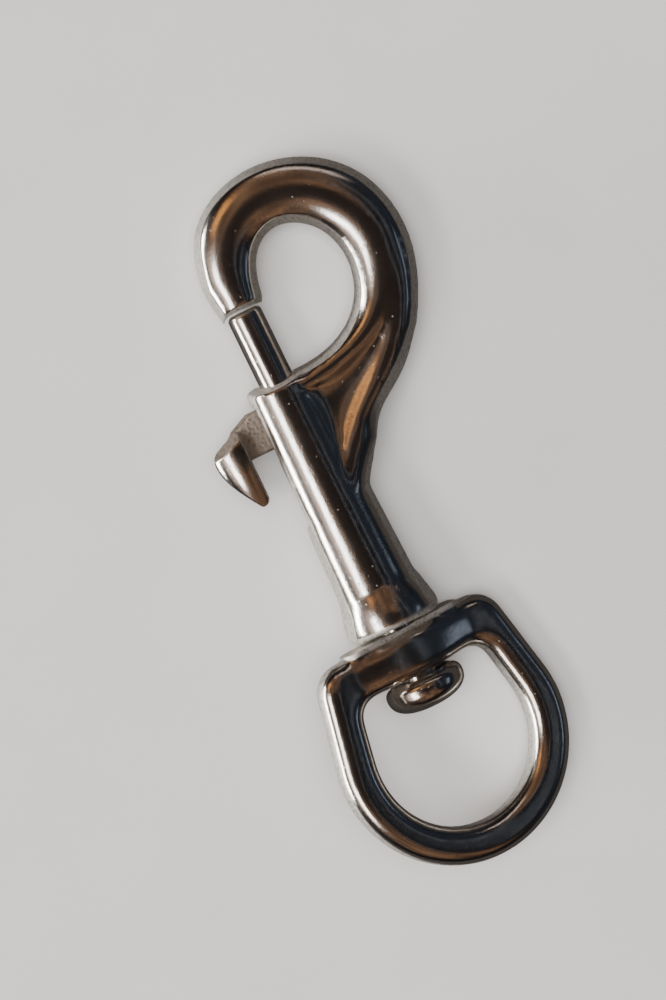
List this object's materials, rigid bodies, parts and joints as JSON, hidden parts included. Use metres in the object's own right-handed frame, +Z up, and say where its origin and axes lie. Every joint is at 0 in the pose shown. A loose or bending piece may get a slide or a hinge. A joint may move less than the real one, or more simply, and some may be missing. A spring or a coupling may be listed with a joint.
{
  "type": "swivel bolt snap hook",
  "caption": "Cast snap hook with a spring-loaded sliding bolt worked by a thumb trigger, and a D-shaped strap eye that swivels on a headed stud.",
  "frame": {"origin": "centre of the bounding box in plan, on the surface that the snap lies on", "axes": "+Y from the strap eye to the hook, within 3 degrees of the swivel axis; +X from the trigger side to the hook's closed side; +Z up from the surface that it lies on"},
  "size_m": [0.0412, 0.0986, 0.0152],
  "materials": {
    "plated_casting": "bright nickel plate over a die casting, satin on the drafted flanks",
    "plated_bolt": "bright nickel plate",
    "plated_trigger": "bright nickel plate, grainy on the arm",
    "spring_wire": "drawn wire",
    "plated_stud": "bright nickel plate",
    "plated_eye": "bright nickel plate, satin on the drafted flanks"
  },
  "bodies": {
    "hook": {"hook_body": "plated_casting", "swivel_stud": "plated_stud", "bolt_spring": "spring_wire"},
    "gate": {"gate_bolt": "plated_bolt", "thumb_trigger": "plated_trigger"},
    "eye": {"swivel_eye": "plated_eye"}
  },
  "joints": [
    {"name": "bolt_slide", "type": "slide", "parent": "hook", "child": "gate", "axis": [0, -0.999, 0.0438], "range_m": [0, 0.011], "stiffness_N_per_m": 300, "springref_m": -0.008, "deforming": ["bolt_spring"]},
    {"name": "eye_swivel", "type": "hinge", "parent": "hook", "child": "eye", "pos_m": [-0.00428, -0.01893, 0.00702], "axis": [0, 0.999, -0.0438], "continuous": true}
  ]
}
